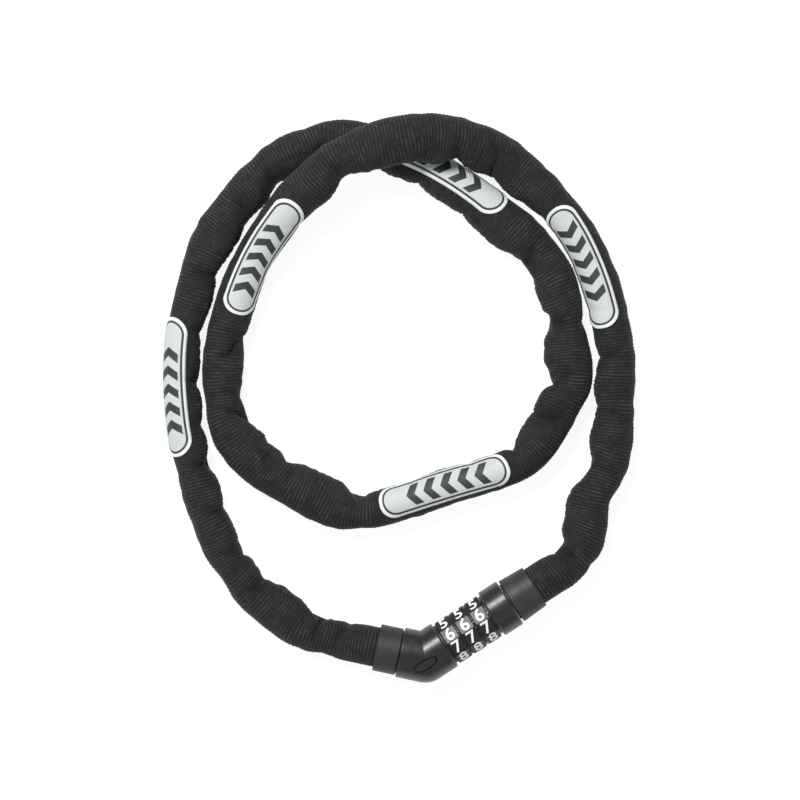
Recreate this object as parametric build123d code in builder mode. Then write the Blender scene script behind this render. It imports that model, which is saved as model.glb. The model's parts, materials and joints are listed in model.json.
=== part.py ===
from build123d import *
import math
import os

os.makedirs("parts", exist_ok=True)

# A chain lock: a short combination lock head with a sleeved chain leaving both of its ends.
# Millimetres. The lock lies on the plane Z = 0. The origin is on that plane, under the middle
# of the dials. +X runs along the spindle towards the bolt end, and the loops lie towards +Y.

# ---------------------------------------------------------------- driving dimensions
body_r = 10.6  # elbow and barrel
fit = 0.05  # radial running fit of a shaft in its hole
free = 0.3  # clearance between pieces that move past each other
seat = 0.1  # clearance between pieces that are assembled together

dial_count = 3
digit_count = 10
dial_r = 10.2
dial_pitch = 7.3
dial_flat_r = 9.8  # from the spindle to a dial's flats, one flat for each digit
spacer_thick = 0.5
end_spacer_thick = 0.9
dial_side_gap = 0.15
spacer_r = 9.5  # between two dials
end_spacer_r = 9.0
dial_edge = 0.3

core_r = 4.6
core_bore_r = 3.1
key_width = 2.6  # slot in the core, gate in each code ring
core_in_elbow = 7.3
core_pin_r = 1.0

code_chamber_wall = 0.55
code_flange = 2.0
code_key_width = 1.6
code_key_height = 0.65
detent_wall = 0.6
detent_travel = 0.7  # from the detent spring to the chamber's wall
detent_width = 1.8

lug_below_wall = 0.35  # from a lug's top to the chamber's wall
lug_length = 1.6
lug_width = 2.0

core_pin_reach = 7.8  # half the length of the pin that holds the core
core_pin_inset = 2.6  # from the core's end to its pin

elbow_turn = 45.0
elbow_straight = 9.85  # from the elbow's face to its corner
arm_length = 10.7  # from the corner to the arm's end face
arm_web = 2.6  # solid stretch between the corner and the arm's bore
oval_length = 11.2
oval_width = 4.6
oval_line = 0.5
oval_depth = 2.2
oval_tilt = 12.0
oval_offset = 1.2  # from the corner towards the arm
rim = 0.5

barrel_length = 9.25
bush_length = 2.6
bush_past_clip = 0.7
clip_past_core = 1.6
clip_play = 0.25  # from the core's end to the bush
clip_thick = 0.8
clip_depth = 0.6
joint_gap = 0.7  # where the lock parts

cap_r = 10.0
cap_taper = 3.2  # degrees
cap_neck_r = 8.4  # the neck that fills the joint's gap
cap_length = 11.7
cap_front = 2.15
collar_r = 9.9
collar_length = 9.6
collar_gap = 0.4
collar_neck_r = 9.0
collar_lip = 0.85

edge_break = 0.35  # small chamfers and rounds on the collar, the cap and the pins
block_play = 0.3  # between a block and the sleeve round it
slot_play = 0.7
block_past_link = 3.0  # how far a block ends short of its link's middle
anchor_pin_r = 1.75

wire_r = 2.0
link_inner_length = 16.0
link_inner_width = 6.0
link_pitch = 15.6

sleeve_r = 8.5
sleeve_wall = 0.9
sleeve_entry = 27.0  # where the sleeve ends inside the cap, along the spindle
sleeve_split = 0.4  # gap between stretches of the sleeve on different bodies

patch_wall = 0.5
patch_half_angle = 52.0

axis_z = body_r

# ---------------------------------------------------------------- stations along the spindle
dial_width = dial_pitch - spacer_thick - 2 * dial_side_gap
stack_half = dial_count * dial_pitch / 2 - spacer_thick / 2 + end_spacer_thick
elbow_face = -stack_half - seat / 2
corner_x = elbow_face - elbow_straight
barrel_start = stack_half + seat / 2
barrel_end = barrel_start + barrel_length
cap_start = barrel_end + joint_gap
cap_end = cap_start + cap_length
cap_end_r = cap_r - cap_length * math.tan(math.radians(cap_taper))
dial_x = [(k - (dial_count - 1) / 2) * dial_pitch for k in range(dial_count)]
code_chamber_r = core_r + fit + detent_wall + detent_travel
code_ring_r = code_chamber_r + code_chamber_wall
lug_r = code_chamber_r - lug_below_wall
clip_r = core_r + clip_past_core
bush_r = clip_r + bush_past_clip
barrel_web = barrel_length - bush_length - clip_thick - 2 * seat - clip_play
sleeve_bore_r = sleeve_r - sleeve_wall
block_r = sleeve_bore_r - block_play
block_slot = 2 * wire_r + slot_play
sleeve_room_r = sleeve_r + free
block_room_r = block_r + seat

corner = Vector(corner_x, 0, axis_z)
arm_direction = Vector(-math.cos(math.radians(elbow_turn)), math.sin(math.radians(elbow_turn)), 0)


def turned(plane, turn):
    """The plane turned about its own normal, in degrees."""
    x_dir = plane.x_dir.rotate(Axis((0, 0, 0), plane.z_dir), turn)
    return Plane(origin=plane.origin, x_dir=x_dir, z_dir=plane.z_dir)


def across(x, turn=0):
    """The plane across the spindle at x, its own Y up, turned about the spindle."""
    return turned(Plane(origin=(x, 0, axis_z), x_dir=(0, 1, 0), z_dir=(1, 0, 0)), turn)


def arm_plane(u, turn=0):
    """The plane across the elbow's arm, u from the corner, its own Y up."""
    side = Vector(0, 0, 1).cross(arm_direction)
    plane = Plane(origin=corner + arm_direction * u, x_dir=side, z_dir=arm_direction)
    return turned(plane, turn)


def rim_edges(part, plane, radius):
    """The full circle of the given radius that lies in the plane."""
    found = []
    for edge in part.edges().filter_by(GeomType.CIRCLE):
        off_plane = abs(plane.to_local_coords(edge.arc_center).Z)
        if abs(edge.radius - radius) < 0.01 and off_plane < 0.01:
            found.append(edge)
    return found


# ---------------------------------------------------------------- the sleeve's route
# From the collar on the elbow's arm, round the outer and then the inner loop, over the first
# turn, and back along the outside to the bolt cap.
arm_stations = [arm_length + collar_gap + collar_lip + free, 22.0, 32.0]
arm_heights = [axis_z, axis_z - 0.1, axis_z - 0.8]
loops = [
    (-55.2, 33.9, 8.9),
    (-64.2, 53.4, 8.5),
    (-69.2, 73.4, 8.5),
    (-66.7, 95.9, 8.5),
    (-61.2, 115.9, 8.5),
    (-53.2, 137.9, 8.5),
    (-38.2, 163.9, 8.5),
    (-20.7, 182.4, 8.5),
    (-3.2, 196.9, 8.5),
    (17.8, 205.9, 8.5),
    (39.8, 208.9, 8.5),
    (60.3, 204.9, 8.5),
    (77.8, 191.9, 8.5),
    (90.8, 173.4, 8.5),
    (100.3, 153.9, 8.5),
    (108.3, 127.9, 8.5),
    (110.3, 106.9, 8.5),
    (104.8, 83.4, 8.5),
    (94.3, 64.9, 8.5),
    (81.8, 55.4, 8.5),
    (68.8, 46.4, 8.5),
    (52.8, 45.4, 8.5),
    (32.8, 51.9, 8.5),
    (11.8, 57.9, 8.5),
    (-7.2, 62.9, 8.5),
    (-18.2, 71.9, 8.5),
    (-26.2, 85.9, 8.5),
    (-33.2, 100.9, 8.5),
    (-37.7, 115.9, 8.5),
    (-34.2, 136.4, 8.5),
    (-22.7, 153.9, 8.5),
    (-6.2, 169.4, 8.5),
    (14.3, 182.9, 10.5),
    (40.8, 191.9, 20),
    (64.8, 194.4, 27.5),
    (86.8, 186.4, 27.5),
    (105.8, 176.9, 20),
    (118.8, 162.9, 11),
    (126.8, 143.4, 8.5),
    (131.3, 120.4, 8.5),
    (127.3, 91.9, 8.5),
    (118.3, 67.4, 8.5),
    (106.3, 47.9, 8.5),
    (93.8, 31.9, 8.5),
    (76.8, 18.9, 8.6),
    (64.8, 6.9, 9.2),
]
cap_run = [(52, 0, axis_z - 0.5), (39.5, 0, axis_z - 0.1), (sleeve_entry, 0, axis_z)]
start_run = []
for station, height in zip(arm_stations, arm_heights):
    place = corner + arm_direction * station
    start_run.append(Vector(place.X, place.Y, height))
route = start_run + [Vector(point) for point in loops + cap_run]

# Each corner is an arc as large as its two runs allow.
arc_share = 0.45
arc_radii = []
for before, here, after in zip(route, route[1:], route[2:]):
    run_in = here - before
    run_out = after - here
    half_turn = math.radians(run_in.get_angle(run_out)) / 2
    shorter = min(run_in.length, run_out.length)
    arc_radii.append(arc_share * shorter / math.tan(half_turn))
print("arc radii, mm:", [round(radius) for radius in arc_radii])


def halfway(index):
    """The middle of the run that starts at this point of the route."""
    return (route[index] + route[index + 1]) * 0.5


def stretch(first, last, ease_start=0.0, ease_end=0.0):
    """The route from the middle of run first to the middle of run last, as points and radii.

    A first of None starts at the route's start, and a last of None ends at its end.
    """
    low = 0 if first is None else first + 1
    high = len(route) - 1 if last is None else last
    points = route[low : high + 1]
    radii = arc_radii[max(low - 1, 0) : high]
    if first is not None:
        onward = (route[first + 1] - route[first]).normalized()
        points = [halfway(first) + onward * ease_start] + points
    if last is not None:
        back = (route[last] - route[last + 1]).normalized()
        points = points + [halfway(last) + back * ease_end]
    if last is None:
        radii = arc_radii[max(low - 1, 0) : len(route) - 2]
    return points, radii


def upright(point, heading, turn=0.0):
    """A plane across the route, its own Y as near up as the heading lets it be."""
    side = Vector(0, 0, 1).cross(heading).normalized()
    return turned(Plane(origin=point, x_dir=side, z_dir=heading), turn)


# The bolt carries the end of the chain, so the chain and its sleeve come in three stretches: one
# on the lock body, one that flexes as the bolt is drawn, and one on the bolt.
flex_first = route.index(Vector(105.8, 176.9, 20))
flex_last = route.index(Vector(118.3, 67.4, 8.5))

# ---------------------------------------------------------------- elbow
core_start = elbow_face - core_in_elbow + 0.2
core_pin_x = core_start + core_pin_inset
with BuildPart() as elbow_housing:
    with BuildLine() as bend:
        Polyline((elbow_face, 0, axis_z), corner, corner + arm_direction * arm_length)
    with BuildSketch(across(elbow_face)):
        Circle(body_r)
    sweep(path=bend.line, transition=Transition.ROUND)
    chamfer(rim_edges(elbow_housing, across(elbow_face), body_r), rim)
    fillet(rim_edges(elbow_housing, arm_plane(arm_length), body_r), rim)
    with BuildSketch(across(elbow_face)):
        Circle(core_r + fit)
    extrude(amount=-core_in_elbow, mode=Mode.SUBTRACT)
    with BuildSketch(arm_plane(arm_web)):
        Circle(block_room_r)
    extrude(amount=arm_length, mode=Mode.SUBTRACT)
    # blind hole for the pin that holds the core
    with BuildSketch(Plane.XY.offset(axis_z)):
        with Locations((core_pin_x, 0)):
            Circle(core_pin_r + fit)
    extrude(amount=core_pin_reach + free, both=True, mode=Mode.SUBTRACT)
    # shallow plain oval line on the front of the corner
    tilt = math.radians(oval_tilt)
    front = Vector(0, -math.sin(tilt), math.cos(tilt))
    oval_centre = corner + front * body_r - Vector(oval_offset, 0, 0)
    with BuildSketch(Plane(origin=oval_centre, x_dir=(1, 0, 0), z_dir=front)):
        Ellipse(oval_length / 2, oval_width / 2)
        Ellipse(oval_length / 2 - oval_line, oval_width / 2 - oval_line, mode=Mode.SUBTRACT)
    extrude(amount=-oval_depth, mode=Mode.SUBTRACT)
elbow_housing.part.label = "elbow_housing"
export_step(elbow_housing.part, "parts/elbow_housing.step")

# ---------------------------------------------------------------- left collar
collar_start = arm_length + collar_gap
collar_end = collar_start + collar_length
with BuildPart() as left_collar:
    with BuildSketch(arm_plane(collar_start)):
        Circle(collar_r)
        Circle(block_r + free, mode=Mode.SUBTRACT)
    extrude(amount=collar_length)
    with BuildSketch(arm_plane(collar_start + collar_lip)):
        Circle(sleeve_room_r)
    extrude(amount=collar_length, mode=Mode.SUBTRACT)
    chamfer(rim_edges(left_collar, arm_plane(collar_start), collar_r), edge_break)
    fillet(rim_edges(left_collar, arm_plane(collar_end), collar_r), edge_break)
    with BuildSketch(arm_plane(collar_start)):
        Circle(collar_neck_r)
        Circle(block_r + free, mode=Mode.SUBTRACT)
    extrude(amount=-(collar_gap - seat))
left_collar.part.label = "left_collar"
export_step(left_collar.part, "parts/left_collar.step")

# ---------------------------------------------------------------- where the links lie
left_link_u = 17.0
right_link_x = 39.2
with BuildLine() as whole_route:
    FilletPolyline(*route, radius=arc_radii)
route_wire = whole_route.wire()
route_length = route_wire.length
first_link = left_link_u - arm_stations[0]
last_link = route_length - (right_link_x - sleeve_entry)
link_total = round((last_link - first_link) / link_pitch)
link_step = (last_link - first_link) / link_total
print("route", round(route_length, 1), "links", link_total + 1, "pitch", round(link_step, 2))

# Every second link is turned a quarter turn. The route arrives at the bolt against the spindle's
# own direction, so a link's turn there is the opposite way about the spindle.
link_turn = 45.0
right_turn = -link_turn if link_total % 2 == 0 else link_turn

# ---------------------------------------------------------------- anchors of the chain
pin_from_link = link_inner_length / 2 - anchor_pin_r - 0.4
link_reach = link_inner_length / 2 + 2 * wire_r
slot_reach = link_reach + 0.4
left_block_start = arm_web + seat
with BuildPart() as anchor_block_left:
    with BuildSketch(arm_plane(left_block_start)):
        Circle(block_r)
    extrude(amount=left_link_u - block_past_link - left_block_start)
    with BuildSketch(arm_plane(left_link_u - slot_reach, link_turn)):
        Rectangle(4 * block_r, block_slot)
    extrude(amount=2 * slot_reach, mode=Mode.SUBTRACT)
    across_pin = arm_plane(left_link_u - pin_from_link, link_turn)
    left_pin_plane = Plane(origin=across_pin.origin, z_dir=across_pin.y_dir)
    with BuildSketch(left_pin_plane):
        Circle(anchor_pin_r + fit)
    extrude(amount=2 * block_r, both=True, mode=Mode.SUBTRACT)
anchor_block_left.part.label = "anchor_block_left"
export_step(anchor_block_left.part, "parts/anchor_block_left.step")

right_block_start = cap_start + cap_front + seat
bolt_seat = 1.9
with BuildPart() as anchor_block_right:
    with BuildSketch(across(right_block_start)):
        Circle(block_r)
    extrude(amount=right_link_x - block_past_link - right_block_start)
    with BuildSketch(across(right_link_x + slot_reach, right_turn)):
        Rectangle(4 * block_r, block_slot)
    extrude(amount=-2 * slot_reach, mode=Mode.SUBTRACT)
    with BuildSketch(across(right_block_start)):
        Circle(core_bore_r - fit + seat)
    extrude(amount=bolt_seat, mode=Mode.SUBTRACT)
    across_pin = across(right_link_x - pin_from_link, right_turn)
    right_pin_plane = Plane(origin=across_pin.origin, z_dir=across_pin.y_dir)
    with BuildSketch(right_pin_plane):
        Circle(anchor_pin_r + fit)
    extrude(amount=2 * block_r, both=True, mode=Mode.SUBTRACT)
anchor_block_right.part.label = "anchor_block_right"
export_step(anchor_block_right.part, "parts/anchor_block_right.step")

for name, plane in (("anchor_pin_left", left_pin_plane), ("anchor_pin_right", right_pin_plane)):
    with BuildPart() as anchor_pin:
        with BuildSketch(plane):
            Circle(anchor_pin_r)
        extrude(amount=block_r - edge_break, both=True)
        chamfer(anchor_pin.edges().filter_by(GeomType.CIRCLE), edge_break)
    anchor_pin.part.label = name
    export_step(anchor_pin.part, f"parts/{name}.step")

# ---------------------------------------------------------------- core tube and its pin
clip_x = barrel_start + barrel_web + seat
core_end = clip_x + clip_thick + seat + 0.1
key_start = dial_x[0] - lug_length / 2 - 2.2
with BuildPart() as core_tube:
    with BuildSketch(across(core_start)):
        Circle(core_r)
        Circle(core_bore_r, mode=Mode.SUBTRACT)
    extrude(amount=core_end - core_start)
    # the slot that the bolt's lugs stand out of
    with BuildSketch(across(key_start)):
        with Locations((0, core_r)):
            Rectangle(key_width, 2 * core_r)
    extrude(amount=core_end - key_start, mode=Mode.SUBTRACT)
    # groove for the retaining clip
    with BuildSketch(across(clip_x)):
        Circle(core_r + 1)
        Circle(core_r - clip_depth, mode=Mode.SUBTRACT)
    extrude(amount=clip_thick + seat, mode=Mode.SUBTRACT)
    with BuildSketch(Plane.XY.offset(axis_z)):
        with Locations((core_pin_x, 0)):
            Circle(core_pin_r + fit)
    extrude(amount=2 * core_r, both=True, mode=Mode.SUBTRACT)
core_tube.part.label = "core_tube"
export_step(core_tube.part, "parts/core_tube.step")

with BuildPart() as core_pin:
    with BuildSketch(Plane.XY.offset(axis_z)):
        with Locations((core_pin_x, 0)):
            Circle(core_pin_r)
    extrude(amount=core_pin_reach, both=True)
core_pin.part.label = "core_pin"
export_step(core_pin.part, "parts/core_pin.step")

# ---------------------------------------------------------------- ejection spring
bolt_tip = dial_x[0] - lug_length / 2 - 3.6
spring_wire_r = 0.22
spring_r = 2.4
spring_start = core_pin_x + core_pin_r + 0.35
spring_length = bolt_tip - 0.4 - spring_start
with BuildPart() as eject_spring:
    with BuildLine() as coil:
        Helix(
            pitch=spring_length / 3,
            height=spring_length,
            radius=spring_r,
            center=(spring_start, 0, axis_z),
            direction=(1, 0, 0),
        )
    with BuildSketch(Plane(origin=coil.line @ 0, z_dir=coil.line % 0)):
        Circle(spring_wire_r)
    sweep(path=coil.line, is_frenet=True)
eject_spring.part.label = "eject_spring"
export_step(eject_spring.part, "parts/eject_spring.step")

# ---------------------------------------------------------------- spacers beside the dials
for k in range(dial_count + 1):
    between = (k - dial_count / 2) * dial_pitch
    start, thick, outer_r = between - spacer_thick / 2, spacer_thick, spacer_r
    if k == 0:
        start, thick, outer_r = -stack_half, end_spacer_thick, end_spacer_r
    if k == dial_count:
        thick, outer_r = end_spacer_thick, end_spacer_r
    with BuildPart() as spacer:
        with BuildSketch(across(start)):
            Circle(outer_r)
            Circle(core_r + fit, mode=Mode.SUBTRACT)
            with Locations((0, code_chamber_r / 2)):
                Rectangle(key_width, code_chamber_r, mode=Mode.SUBTRACT)
        extrude(amount=thick)
    spacer.part.label = f"spacer_{k + 1}"
    export_step(spacer.part, f"parts/spacer_{k + 1}.step")

# ---------------------------------------------------------------- dials, code rings, detents
ring_width = dial_width - 0.2
dial_rotation = 180 / digit_count  # so that an edge between two flats faces straight up
key_slot_r = code_ring_r + code_key_height + 0.2
for k, x in enumerate(dial_x):
    with BuildPart() as dial:
        with BuildSketch(across(x - dial_width / 2)):
            RegularPolygon(dial_flat_r, digit_count, major_radius=False, rotation=dial_rotation)
            Circle(dial_r, mode=Mode.INTERSECT)
            Circle(code_ring_r + seat, mode=Mode.SUBTRACT)
            with PolarLocations(code_ring_r, digit_count):
                Rectangle(2 * (key_slot_r - code_ring_r), code_key_width + 0.2, mode=Mode.SUBTRACT)
        extrude(amount=dial_width)
        ends = dial.faces().filter_by(Plane.YZ).sort_by(Axis.X)
        for end in (ends[0], ends[-1]):
            chamfer(end.outer_wire().edges(), dial_edge)
    dial.part.label = f"dial_{k + 1}"
    export_step(dial.part, f"parts/dial_{k + 1}.step")

    ring_start = x - ring_width / 2
    with BuildPart() as code_ring:
        with BuildSketch(across(ring_start)):
            Circle(code_ring_r)
            Circle(core_r + fit, mode=Mode.SUBTRACT)
            with PolarLocations(code_ring_r, 2):
                Rectangle(2 * code_key_height, code_key_width)
        extrude(amount=ring_width)
        # the chamber where the lug waits, with a groove for each click
        with BuildSketch(across(ring_start)):
            Circle(code_chamber_r)
            with PolarLocations(code_chamber_r - 0.35, digit_count, start_angle=-90):
                Circle(0.6)
        extrude(amount=ring_width - code_flange, mode=Mode.SUBTRACT)
        # the gate that lets the lug out
        with BuildSketch(across(ring_start)):
            with Locations((0, code_chamber_r / 2)):
                Rectangle(key_width, code_chamber_r)
        extrude(amount=ring_width, mode=Mode.SUBTRACT)
    code_ring.part.label = f"code_ring_{k + 1}"
    export_step(code_ring.part, f"parts/code_ring_{k + 1}.step")

    with BuildPart() as detent_spring:
        with BuildSketch(across(ring_start + 0.2)):
            Circle(core_r + fit + detent_wall)
            Circle(core_r + fit, mode=Mode.SUBTRACT)
            with Locations((0, code_ring_r)):
                Rectangle(2 * core_r - 2, 2 * code_ring_r - 3, mode=Mode.SUBTRACT)
            with Locations((0, -(core_r + detent_wall - 0.1))):
                Circle(0.6)
            Circle(core_r + fit, mode=Mode.SUBTRACT)
        extrude(amount=detent_width)
    detent_spring.part.label = f"detent_spring_{k + 1}"
    export_step(detent_spring.part, f"parts/detent_spring_{k + 1}.step")

# ---------------------------------------------------------------- barrel, clip and throat bush
with BuildPart() as nose_barrel:
    with BuildSketch(across(barrel_start)):
        Circle(body_r)
    extrude(amount=barrel_length)
    chamfer(rim_edges(nose_barrel, across(barrel_start), body_r), rim)
    chamfer(rim_edges(nose_barrel, across(barrel_end), body_r), rim)
    with BuildSketch(across(barrel_start)):
        Circle(core_r + fit)
        with Locations((0, code_chamber_r / 2)):
            Rectangle(key_width, code_chamber_r)
    extrude(amount=barrel_length, mode=Mode.SUBTRACT)
    with BuildSketch(across(barrel_start + barrel_web)):
        Circle(bush_r + seat)
    extrude(amount=barrel_length, mode=Mode.SUBTRACT)
nose_barrel.part.label = "nose_barrel"
export_step(nose_barrel.part, "parts/nose_barrel.step")

with BuildPart() as retaining_clip:
    with BuildSketch(across(clip_x + seat / 2)):
        Circle(clip_r)
        Circle(core_r - clip_depth + fit, mode=Mode.SUBTRACT)
        with Locations((0, clip_r)):
            Rectangle(1.3 * core_r, 2 * clip_r, mode=Mode.SUBTRACT)
    extrude(amount=clip_thick)
retaining_clip.part.label = "retaining_clip"
export_step(retaining_clip.part, "parts/retaining_clip.step")

bush_start = barrel_end - bush_length
with BuildPart() as throat_bush:
    with BuildSketch(across(bush_start)):
        Circle(bush_r)
        Circle(core_bore_r + free, mode=Mode.SUBTRACT)
        with Locations((0, code_chamber_r / 2)):
            Rectangle(key_width, code_chamber_r, mode=Mode.SUBTRACT)
    extrude(amount=bush_length)
    chamfer(rim_edges(throat_bush, across(barrel_end), bush_r), 0.3)
throat_bush.part.label = "throat_bush"
export_step(throat_bush.part, "parts/throat_bush.step")

# ---------------------------------------------------------------- bolt and its cap
bolt_r = core_bore_r - fit
with BuildPart() as bolt:
    with BuildSketch(across(bolt_tip)):
        Circle(bolt_r)
    extrude(amount=right_block_start + bolt_seat - 2 * seat - bolt_tip)
    chamfer(rim_edges(bolt, across(bolt_tip), bolt_r), 0.6)
    for x in dial_x:
        with BuildSketch(across(x - lug_length / 2)):
            with Locations((0, lug_r / 2)):
                Rectangle(lug_width, lug_r)
        extrude(amount=lug_length)
bolt.part.label = "bolt"
export_step(bolt.part, "parts/bolt.step")

with BuildPart() as bolt_end_cap:
    with BuildSketch(across(cap_start)):
        Circle(cap_r)
    extrude(amount=cap_length, taper=cap_taper)
    chamfer(rim_edges(bolt_end_cap, across(cap_start), cap_r), edge_break)
    fillet(rim_edges(bolt_end_cap, across(cap_end), cap_end_r), edge_break)
    with BuildSketch(across(cap_start)):
        Circle(cap_neck_r)
    extrude(amount=-(joint_gap - seat))
    with BuildSketch(across(barrel_end)):
        Circle(bolt_r + seat)
    extrude(amount=cap_length, mode=Mode.SUBTRACT)
    with BuildSketch(across(cap_start + cap_front)):
        Circle(block_room_r)
    extrude(amount=cap_length, mode=Mode.SUBTRACT)
    with BuildSketch(across(sleeve_entry - 0.4)):
        Circle(sleeve_room_r)
    extrude(amount=cap_length, mode=Mode.SUBTRACT)
bolt_end_cap.part.label = "bolt_end_cap"
export_step(bolt_end_cap.part, "parts/bolt_end_cap.step")

# ---------------------------------------------------------------- chain
link_half = (link_inner_length - link_inner_width) / 2
link_side = link_inner_width / 2 + wire_r
with BuildPart() as link:
    with BuildSketch(Plane.YZ):
        with Locations((link_side, 0), (-link_side, 0)):
            Circle(wire_r)
    extrude(amount=link_half)
    with BuildSketch(Plane.YZ.offset(link_half)):
        with Locations((link_side, 0)):
            Circle(wire_r)
    revolve(axis=Axis((link_half, 0, 0), (0, 0, 1)), revolution_arc=-180)
    mirror(about=Plane.YZ)

link_places = []
for k in range(link_total + 1):
    share = (first_link + k * link_step) / route_length
    heading = route_wire % share
    turn = link_turn if k % 2 == 0 else -link_turn
    plane = upright(route_wire @ share, heading, turn)
    link_places.append(Plane(origin=plane.origin, x_dir=heading, z_dir=plane.y_dir))


def length_to(index):
    """How far along the filleted route the middle of this run lies."""
    points, radii = stretch(None, index)
    with BuildLine() as part_route:
        FilletPolyline(*points, radius=radii)
    return part_route.wire().length


flex_from = length_to(flex_first)
flex_to = length_to(flex_last)
link_groups = {"chain_root": [], "chain_flex": [], "chain_bolt": []}
for k, plane in enumerate(link_places):
    along = first_link + k * link_step
    if along < flex_from:
        link_groups["chain_root"].append(plane)
    elif along < flex_to:
        link_groups["chain_flex"].append(plane)
    else:
        link_groups["chain_bolt"].append(plane)
for name, planes in link_groups.items():
    with BuildPart() as chain:
        with Locations(*[Location(plane) for plane in planes]):
            add(link.part)
    chain.part.label = name
    export_step(chain.part, f"parts/{name}.step")

# ---------------------------------------------------------------- sleeve
sleeve_stretches = {
    "sleeve_root": stretch(None, flex_first, 0, sleeve_split / 2),
    "sleeve_flex": stretch(flex_first, flex_last, sleeve_split / 2, sleeve_split / 2),
    "sleeve_bolt": stretch(flex_last, None, sleeve_split / 2, 0),
}
for name, (points, radii) in sleeve_stretches.items():
    with BuildPart() as sleeve:
        with BuildLine() as line:
            FilletPolyline(*points, radius=radii)
        sleeve_line = line.wire()
        with BuildSketch(upright(sleeve_line @ 0, sleeve_line % 0)):
            Circle(sleeve_r)
            Circle(sleeve_bore_r, mode=Mode.SUBTRACT)
        sweep(path=sleeve_line)
    section_volume = math.pi * (sleeve_r**2 - sleeve_bore_r**2) * sleeve_line.length
    print(name, "volume over section times length:", round(sleeve.part.volume / section_volume, 4))
    sleeve.part.label = name
    export_step(sleeve.part, f"parts/{name}.step")

# ---------------------------------------------------------------- reflective patches on the sleeve
# Each covers two runs of the route, from the middle of the run that starts at the point given,
# and faces the side given in degrees from straight up.
patches = {
    "patch_1": ((-61.2, 115.9, 8.5), -37),
    "patch_2": ((77.8, 191.9, 8.5), -30),
    "patch_3": ((52.8, 45.4, 8.5), 15),
    "patch_4": ((-22.7, 153.9, 8.5), 15),
    "patch_5": ((126.8, 143.4, 8.5), 32),
}
patch_low = sleeve_r + seat
patch_high = patch_low + patch_wall
for name, (start, facing) in patches.items():
    first = route.index(Vector(start))
    points, radii = stretch(first, first + 2)
    with BuildPart() as patch:
        with BuildLine() as line:
            FilletPolyline(*points, radius=radii)
        patch_line = line.wire()
        with BuildSketch(upright(patch_line @ 0, patch_line % 0, facing)):
            Circle(patch_high)
            Circle(patch_low, mode=Mode.SUBTRACT)
            with BuildLine():
                far = 2 * patch_high
                reach = math.tan(math.radians(patch_half_angle)) * far
                Polyline((0, 0), (reach, far), (-reach, far), close=True)
            make_face(mode=Mode.INTERSECT)
        sweep(path=patch_line)
    patch.part.label = name
    export_step(patch.part, f"parts/{name}.step")
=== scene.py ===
import json
import math

import bmesh
import bpy
import numpy as np
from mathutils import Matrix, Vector


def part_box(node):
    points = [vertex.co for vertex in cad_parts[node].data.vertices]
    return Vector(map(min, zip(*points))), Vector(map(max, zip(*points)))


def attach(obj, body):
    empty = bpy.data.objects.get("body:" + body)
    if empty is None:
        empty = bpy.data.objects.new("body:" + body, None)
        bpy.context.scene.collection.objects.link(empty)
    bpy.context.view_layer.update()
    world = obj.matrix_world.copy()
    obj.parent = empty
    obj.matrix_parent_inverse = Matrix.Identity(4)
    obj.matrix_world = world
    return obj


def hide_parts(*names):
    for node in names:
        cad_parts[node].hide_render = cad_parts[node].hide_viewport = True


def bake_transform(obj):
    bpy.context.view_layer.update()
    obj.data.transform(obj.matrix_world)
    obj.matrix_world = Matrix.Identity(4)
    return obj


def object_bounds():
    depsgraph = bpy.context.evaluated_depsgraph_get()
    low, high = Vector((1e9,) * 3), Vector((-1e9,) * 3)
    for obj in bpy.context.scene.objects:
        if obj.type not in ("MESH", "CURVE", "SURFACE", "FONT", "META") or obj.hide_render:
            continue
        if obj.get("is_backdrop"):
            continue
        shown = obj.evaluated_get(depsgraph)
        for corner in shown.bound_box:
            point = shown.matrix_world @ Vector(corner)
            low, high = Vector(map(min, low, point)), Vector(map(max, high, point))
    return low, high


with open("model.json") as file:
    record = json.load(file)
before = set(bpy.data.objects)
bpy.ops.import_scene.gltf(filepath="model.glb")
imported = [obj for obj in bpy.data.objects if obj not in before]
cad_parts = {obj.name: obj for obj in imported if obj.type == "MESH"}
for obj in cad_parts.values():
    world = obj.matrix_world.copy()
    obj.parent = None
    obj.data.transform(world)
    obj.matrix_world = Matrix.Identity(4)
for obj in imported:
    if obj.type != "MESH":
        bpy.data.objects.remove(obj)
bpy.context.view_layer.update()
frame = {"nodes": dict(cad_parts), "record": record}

# A combination chain lock. Metres, in the CAD model's frame: +X runs along the spindle towards the
# bolt, the loops lie towards +Y, and the lock lies on the plane Z = 0.

MM = 0.001
nodes = frame["nodes"]


# ---------------------------------------------------------------- places taken from the frame
dial_boxes = [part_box(f"dial_{k}") for k in (1, 2, 3)]
AXIS_Z = (dial_boxes[1][0].z + dial_boxes[1][1].z) / 2

# ---------------------------------------------------------------- camera
VIEW_CENTRE = Vector((0.0285, 0.0963, 0.009))
VIEW_TURN = math.radians(-33)
VIEW_WIDTH = 0.336
CAMERA_HEIGHT = 1.5

camera_data = bpy.data.cameras.new("camera")
camera_data.sensor_width = 36
camera_data.lens = camera_data.sensor_width * CAMERA_HEIGHT / VIEW_WIDTH
camera_data.clip_start = 0.05
camera = bpy.data.objects.new("camera", camera_data)
camera.location = VIEW_CENTRE + Vector((0, 0, CAMERA_HEIGHT))
camera.rotation_euler = (0, 0, VIEW_TURN)
bpy.context.scene.collection.objects.link(camera)
bpy.context.scene.camera = camera

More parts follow.
